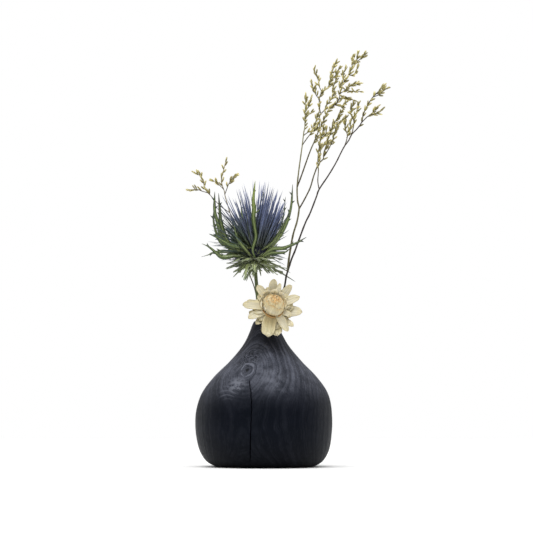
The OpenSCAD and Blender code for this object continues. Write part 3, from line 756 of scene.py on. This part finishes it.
def build_collar():
    """Deeply toothed collar leaves, each with a smaller one beside it."""
    for node, name in (("holly_collar_upper", "sea_holly_collar_upper"),
                       ("holly_collar_lower", "sea_holly_collar_lower")):
        s = Shells()
        for line, wide in leaves(node):
            rows = int(length_of(line) * 1.3)
            blade(s, line, width_of(wide, 1.05), (0, 0, 1), rows, 7, 0.6, 0.4, wave=0.6, rib=0.2,
                  teeth=toothed(rows, 5, 2.6, 2.4), chance=rng.random())
            turn, shrink = rng.choice((-0.2, 0.18)), rng.uniform(0.62, 0.85)
            away = line - HEART
            c1, s1 = math.cos(turn), math.sin(turn)
            beside = HEART + np.stack([(away[:, 0] * c1 - away[:, 1] * s1) * shrink,
                                       (away[:, 0] * s1 + away[:, 1] * c1) * shrink,
                                       away[:, 2] * rng.uniform(0.8, 1.15)], 1)
            rows = int(rows * 0.8)
            blade(s, beside, width_of(wide, 0.85), (0, 0, 1), rows, 7, 0.5, 0.3, wave=0.5,
                  rib=0.15, teeth=toothed(rows, 4, 1.5, 1.5), chance=rng.random())
        if name.endswith("upper"):  # small spiny leaves crowd round the head
            for k in range(46):
                way = toward(k * GOLDEN, math.radians(rng.uniform(-32, 38)))
                at = HEART + (0, 0, -3.5) + way * 5.5
                far = at + way * rng.uniform(7, 11.5)
                blade(s, [at, (at + far) / 2 + (0, 0, -0.8), far],
                      lambda q: 1.0 * (1 - q) ** 0.8 + 0.05, (0.2, -0.6, 0.8), 9, 5, 0.4, 0.2,
                      rib=0.12, teeth=toothed(9, 4, 1.2, 1.2, 1), chance=rng.random())
        else:  # long thin points hang below
            for x, z in ((-25, 146), (-18, 146), (-14.5, 143), (-31, 153), (-3, 147), (3, 149),
                         (7, 149), (13.5, 148.5), (24, 143), (20, 150), (-22, 151), (-9, 148)):
                at = HEART + (rng.uniform(-2, 2), -4 + rng.uniform(-3, 2), -5)
                far = np.array([x, rng.uniform(1, 9) + (8 if x > 0 else 0), z])
                blade(s, [at, at * 0.55 + far * 0.45 + (0, 0, 1.6), far],
                      lambda q: 1.15 * (1 - q) ** 0.6 + 0.08, (0.1, -0.8, 0.5), 16, 5, 0.45, 0.2,
                      rib=0.12, teeth=toothed(16, 5, 1.3, 1.4, 1), chance=rng.random() * 0.5)
        s.piece(name, "sea_holly", COLLAR, "holly_collar", node)


def build_spines():
    """Fine dark spines between the leaves."""
    s = Shells()
    for k in range(90):
        turn = math.radians(rng.uniform(100, 250) if k % 3 else rng.uniform(5, 100))
        right = math.cos(turn) > 0.2
        rise = rng.uniform(-0.45, 0.75)
        reach = rng.uniform(6, 11) if right else rng.uniform(9, 19)
        out = np.array([math.cos(turn), math.sin(turn), rise])
        root = HEART + np.array([0, 0, -4.5]) + unit(out) * 7
        tip = root + unit(out) * reach
        thorn(s, root, tip, 0.42, rng.random(), 5, 5, rng.uniform(-1, 1))
        for _ in range(4):
            at = root + (tip - root) * rng.uniform(0.3, 0.9)
            barb = unit(tip - root) * 1.6 + [rng.uniform(-1, 1) for _ in range(3)]
            thorn(s, at, at + barb, 0.2, 0.5, 2, 3)
    s.piece("sea_holly_spines", "sea_holly", SPINE, "holly_leaf")


# ---------------------------------------------------------------- strawflower
DISC = np.array([5.7, -11.0, 122.6])  # the middle of the flower
LOOK = np.array([0.2285, -0.8529, 0.4695])  # the way it faces
RIGHT = np.array([0.9659, 0.2588, 0.0])
UP = np.cross(LOOK, RIGHT)


def petal_half(most, base=0.55, round_=0.24, peak=0.62, tip=1.0):
    """The half width along a petal: it swells from `base` at the root to `most` at `peak`,
    narrows to `tip` and ends in a round of length `round_`."""
    def at(q):
        w = base + (1 - base) * math.sin(min(1, q / peak) * math.pi / 2)
        w *= 1 - (1 - tip) * max(0, (q - peak) / (1 - peak)) ** 1.4
        return most / 2 * w * math.sqrt(max(0.0, 1 - max(0.0, (q - 1 + round_) / round_) ** 2.5))
    return at


def build_straw_petals():
    s = Shells()
    for line, r in tubes("straw_stem", 12):
        tube(s, smooth(line, 30), np.full(30, r.mean()), 16, 0.5, ribs=0.05)
    s.piece("strawflower_stem", "strawflower", STRAW_STEM, "straw_stem", "straw_stem")

    # back of the flower: a receptacle under small overlapping scales
    s = Shells()
    turned(s, [(0.3, -6.4), (1.8, -6.2), (3, -5.4), (5, -4), (6.6, -2.3), (7.4, 0), (6.5, 1.4),
               (0.3, 1.5)], DISC, LOOK, RIGHT, 32)
    scales = [(1.6, -6.1, 4.6, -4.9, 9), (2.8, -5.2, 6.4, -3.4, 12), (4.6, -4.0, 8.0, -1.8, 15)]
    for row, (r0, h0, r1, h1, n) in enumerate(scales):
        for k in range(n):
            a = 2 * math.pi * (k + 0.5 * (row % 2)) / n
            way = math.cos(a) * UP + math.sin(a) * RIGHT
            p0, p1 = DISC + r0 * way + h0 * LOOK, DISC + r1 * way + h1 * LOOK
            mid = (p0 + p1) / 2 + 0.5 * way - 0.5 * LOOK
            blade(s, [p0, mid, p1], petal_half(3.0 + 0.4 * row, 0.8, 0.5), way * 0.6 - LOOK,
                  9, 5, 0.3, 0.25, chance=rng.random(), blunt=True)
    s.piece("strawflower_back", "strawflower", STRAW_BACK, "straw_back", "straw_receptacle")

    for node, name in (("straw_outer_petals", "strawflower_outer_petals"),
                       ("straw_second_petals", "strawflower_second_petals")):
        s, under = Shells(), Shells()
        for line, wide in leaves(node):
            low = line[-1][2] < 108 and abs(line[-1][0] - 5) < 9
            fat = wide.max() * (1.5 if low else 1.28)
            form = petal_half(fat, 0.8, 0.22, 0.55, 0.85 if low else 0.6)
            blade(under if low else s, line, form, LOOK, 22, 11, 0.3, -0.7,
                  wave=0.7 if low else 0.45, chance=rng.random(), blunt=True,
                  frill=0.8 if low else 0.25)
            # shorter petals behind the gaps beside it
            away = line - DISC
            rise = (away @ LOOK)[:, None] * LOOK
            for turn, size in ((0.3, 0.72), (-0.26, 0.6)):
                flat = size * (math.cos(turn) * (away - rise)
                               + math.sin(turn) * np.cross(LOOK, away - rise))
                blade(s, DISC + flat + rise * 0.8 - (1.3 - 0.8 * size) * LOOK, form, LOOK, 14,
                      7, 0.3, -0.5, wave=0.4, chance=rng.random(), blunt=True, frill=0.2)
        s.piece(name, "strawflower", PETAL, "petal", node)
        under.piece(name + "_low", "strawflower", PETAL_LOW, "petal", node)

    s = Shells()
    for line, wide in leaves("straw_inner_cup"):
        away = line - DISC
        rise = away @ LOOK
        away = (away - rise[:, None] * LOOK) * 0.9 + (rise * 0.72)[:, None] * LOOK
        blade(s, DISC + away, petal_half(wide.max() * 1.5, 0.85, 0.5), LOOK, 16, 9, 0.28, -0.5,
              wave=0.35, chance=rng.random(), blunt=True)
    s.piece("strawflower_cup", "strawflower", CUP, "petal", "straw_inner_cup")


def build_straw_centre():
    """Bracts wrap an egg-shaped core and meet at an opening up and to the right."""
    middle = DISC + 3.9 * LOOK
    pole = unit(0.93 * LOOK + 0.36 * UP + 0.14 * RIGHT)
    p1 = unit(np.cross(pole, RIGHT))
    p2 = np.cross(pole, p1)

    def egg(theta, phi, grow):
        d = (math.cos(theta) * pole
             + math.sin(theta) * (math.cos(phi) * p1 + math.sin(phi) * p2))
        h = float(d @ LOOK)
        tall = float(d @ UP) * (0.9 if d @ UP < 0 else 0.0)
        return middle + grow * (8.35 * (d - h * LOOK) + tall * UP
                                + (7.0 if h > 0 else 3.0) * h * LOOK)

    core, s = Shells(), Shells()
    core.add([[egg(th, ph, 0.86) for ph in np.linspace(0, 2 * math.pi, 24, endpoint=False)]
              for th in np.linspace(0.03, 3.1, 20)], np.linspace(1, 0, 20), np.zeros(24), 0.5)
    core.piece("strawflower_core", "strawflower", CORE, "straw_centre", "straw_centre")
    layers = [(8, 0.885, 5, 12, 40), (8, 0.925, 12, 22, 46), (7, 0.96, 20, 34, 48),
              (8, 1.0, 46, 66, 38)]
    wraps = [(k * 2 * math.pi / n + 0.9 * j, grow, math.radians(rng.uniform(t0, t1)),
              math.radians(w)) for j, (n, grow, t0, t1, w) in enumerate(layers)
             for k in range(n)]
    for phi, grow, tip, spread in wraps:
        root = math.radians(120)
        grow += rng.uniform(0, 0.025)
        rows, cols, rings = 14, 9, []
        for i in range(rows):
            q = i / (rows - 1)
            th = root + (tip - root) * q
            w = spread * math.sqrt(max(0.003, 1 - max(0.0, (q - 0.55) / 0.45) ** 2.6))
            w = min(w / max(0.3, math.sin(th)), 1.5)
            lip = 0.05 * max(0, (q - 0.75) / 0.25) ** 2
            top = [egg(th, phi + w * c, grow + lip + 0.018 * (1 - abs(c)))
                   for c in np.linspace(-1, 1, cols)]
            low = [egg(th, phi + w * c, grow + lip - 0.022)
                   for c in np.linspace(-1, 1, cols)[1:-1]]
            rings.append(top + low[::-1])
        u = np.linspace(-1, 1, cols)
        s.add(rings, np.linspace(0, 1, rows), np.concatenate([u, u[1:-1][::-1]]), rng.random(),
              egg(tip - 0.03, phi, grow + 0.05))
    # torn lips round the opening
    lips = Shells()
    for k in range(16):
        phi = k * 0.393 + rng.uniform(-0.15, 0.15)
        th = math.radians(rng.uniform(9, 19))
        a, b = egg(th + 0.3, phi, 0.97), egg(th, phi, 1.02)
        c = egg(max(0.02, th - 0.16), phi + rng.uniform(-0.3, 0.3), rng.uniform(1.02, 1.16))
        blade(lips, [a, b, c], lambda q: 0.95 * (1 - q) ** 0.6 + 0.05, unit(a - middle), 6, 5,
              0.25, 0.15, wave=0.2, chance=rng.random())
    lips.piece("strawflower_lips", "strawflower", LIPS, "straw_centre", "straw_centre")
    # a brown ring where the centre meets the petals, shown under the centre only
    ring = Shells()
    n = 50
    arc = np.linspace(math.pi - 1.25, math.pi + 1.35, n)
    fade = np.sin(np.linspace(0.06, math.pi - 0.06, n)) ** 0.6
    ring.add([[DISC - 0.6 * UP - 0.3 * RIGHT + (2.0 + 0.8 * k * math.sin(b)) * LOOK
               + (8.7 + 0.95 * k * math.cos(b)) * (math.cos(a) * UP * 1.04 + math.sin(a) * RIGHT)
               for b in np.linspace(0, 2 * math.pi, 8, endpoint=False)]
              for a, k in zip(arc, fade)], np.linspace(0, 1, n), np.zeros(8), 0.5)
    ring.piece("strawflower_ring", "strawflower", RING, "straw_centre", "straw_centre")
    s.piece("strawflower_centre", "strawflower", CENTRE, "straw_centre", "straw_centre")


# ---------------------------------------------------------------- statice
def bud(shells, root, tip, w, chance):
    """One papery bud: a slim calyx that swells and flares a little before its closed tip."""
    way = tip - root
    bend = unit(np.cross(way, (0.2, 1, 0.3))) * rng.uniform(-0.25, 0.25)
    g = np.array([0, 0.12, 0.28, 0.45, 0.62, 0.76, 0.88, 0.96])
    rad = w / 2 * np.array([0.34, 0.5, 0.86, 1.0, 0.9, 0.98, 0.72, 0.36])
    line = root + g[:, None] * way + np.sin(g * math.pi)[:, None] * bend
    rings, across = round_rings(line, rad, 7, (0.3, 0.9, 0.2), 0.8)
    shells.add(rings, g, across, chance, tip)


def build_statice():
    stems = [("spray_stem", 6, "tall_spray", DARK_STEM, "dark_stem", 10),
             ("spray_pale_limb", 6, "tall_spray", PALE_STEM, "pale_stem", 8),
             ("spray_side_limbs", 5, "tall_spray", TWIG, "dark_stem", 7),
             ("spray_branches", 5, "tall_spray", TWIG, "pale_stem", 7),
             ("spray_twigs", 5, "tall_spray", TWIG, "pale_stem", 6),
             ("spray_tips", 5, "tall_spray", TWIG, "pale_stem", 6),
             ("sprig_stem", 6, "short_sprig", SPRIG, "sprig_stem", 8),
             ("sprig_branches", 5, "short_sprig", SPRIG, "sprig_stem", 6)]
    for node, sides, body, material, slot, round_ in stems:
        s = Shells()
        for line, r in tubes(node, sides):
            rows = (len(line) - 1) * 4 + 1
            path = smooth(line, rows)
            run = np.linspace(0, 1, rows)
            rad = np.interp(run, np.linspace(0, 1, len(r)), r)
            swell = 0.12 * np.maximum(0, np.cos(run * (len(line) - 1) * 2 * math.pi)) ** 8
            tube(s, path, rad * (0.94 + swell), round_, rng.random())
        s.piece("statice_" + node, body, material, slot, node)
    # the buds of the CAD nodes, and more between them that lean up and out along each shoot
    groups = [("spray_buds_limbs", "tall_spray",
               [("spray_stem", 6, 0.84), ("spray_pale_limb", 6, 0.8),
                ("spray_side_limbs", 5, 0.5)]),
              ("spray_buds_branches", "tall_spray", [("spray_branches", 5, 0.3)]),
              ("spray_buds_twigs", "tall_spray", [("spray_twigs", 5, 0.04)]),
              ("spray_buds_tips", "tall_spray", [("spray_tips", 5, 0.2)]),
              ("sprig_buds", "short_sprig", [("sprig_branches", 5, 0.5)])]
    rows = 60
    for node, body, shoots in groups:
        s = Shells()
        for root, tip in spindles(node):
            bud(s, root, root + (tip - root) * rng.uniform(1.05, 1.2), 1.35, rng.random())
        for shoot, sides, first in shoots:
            for line, _ in tubes(shoot, sides):
                count = int(length_of(line) * (1 - first) / 1.7)
                path = smooth(line, rows)
                t, side, f = axes(path, (0.1, 1, 0.2))
                for k in range(count):
                    at = int(rows * (first + (1 - first) * (k + rng.random()) / count))
                    at = min(rows - 2, at)
                    turn = rng.uniform(0, 2 * math.pi)
                    out = math.cos(turn) * side[at] + 0.7 * math.sin(turn) * f[at]
                    way = unit(t[at] + 0.6 * unit(out) + (0.3, 0, 0.25))
                    bud(s, path[at], path[at] + way * rng.uniform(4.0, 5.4),
                        rng.uniform(1.1, 1.5), rng.random())
        s.piece("statice_" + node, body, BUD, "bud", node)


# ---------------------------------------------------------------- set, light and camera
def build_set():
    mesh = bpy.data.meshes.new("floor")
    n, wide, below = 12, 1.9, -0.0003  # cells each way, metres across, height
    mesh.from_pydata([((i / n - 0.5) * wide, (j / n - 0.5) * wide, below)
                      for i in range(n + 1) for j in range(n + 1)], [],
                     [(i * (n + 1) + j, (i + 1) * (n + 1) + j, (i + 1) * (n + 1) + j + 1,
                       i * (n + 1) + j + 1) for i in range(n) for j in range(n)])
    m = Net("pale_floor")
    speck = m.noise(m.place(), 0.02, 2.0)
    mesh.materials.append(m.finish(m.mix(speck, rgb(248, 248, 248), rgb(251, 251, 250)),
                                   m.fit(speck, 0.3, 0.7, 0.8, 0.9), speck, 0.05))
    floor = bpy.data.objects.new("floor", mesh)
    bpy.context.scene.collection.objects.link(floor)

    def lamp(name, at, aim, size, power, tall=None):
        data = bpy.data.lights.new(name, "AREA")
        data.shape = "RECTANGLE"
        data.size, data.size_y, data.energy = size, tall or size, power
        obj = bpy.data.objects.new(name, data)
        obj.location = at
        way = np.array(aim, float) - at
        obj.rotation_mode = "QUATERNION"
        obj.rotation_quaternion = Vector(way).to_track_quat("-Z", "Y")
        bpy.context.scene.collection.objects.link(obj)

    lamp("top_softbox", (-0.15, -0.3, 1.5), (0, 0, 0.15), 1.2, 14)
    lamp("left_softbox", (-1.2, 0.8, 0.5), (0, 0, 0.15), 0.6, 2.5, 1.2)
    lamp("right_softbox", (1.2, 0.8, 0.5), (0, 0, 0.15), 0.6, 2.5, 1.2)

    # an even pale room, a little darker towards the front
    world = bpy.data.worlds.new("room")
    bpy.context.scene.world = world
    world.use_nodes = True
    m = Nodes(world.node_tree)
    m.tree.nodes.clear()
    _, y, z = m.split(m.node("TexCoord"))
    glow = m.math("MAXIMUM", m.fit(z, 0.1, 0.7, 0.0, 1.0, "LINEAR"),
                  m.fit(y, -0.3, 0.6, 0.04, 0.5, "LINEAR"))
    light, seen = [m.node("Background", {"Color": (1, 1, 1, 1), "Strength": strength})
                   for strength in (glow, 1.0)]
    both = m.node("MixShader", (m.node("LightPath"), light, seen))
    m.tree.links.new(both, m.tree.nodes.new("ShaderNodeOutputWorld").inputs[0])
    bpy.context.scene.view_settings.view_transform = "Standard"


def build_camera():
    data = bpy.data.cameras.new("camera")
    data.sensor_width, data.lens = 36, 191.8
    camera = bpy.data.objects.new("camera", data)
    back, height, aim = 2.2, 0.07, 0.1546
    camera.location = (0.0012, -back, height)
    camera.rotation_euler = (math.pi / 2 + math.atan2(aim - height, back), 0, 0)
    bpy.context.scene.collection.objects.link(camera)
    bpy.context.scene.camera = camera


build_camera()
build_set()
build_vase()
build_holly_head()
build_needles()
build_bracts()
build_collar()
build_spines()
build_straw_petals()
build_straw_centre()
build_statice()
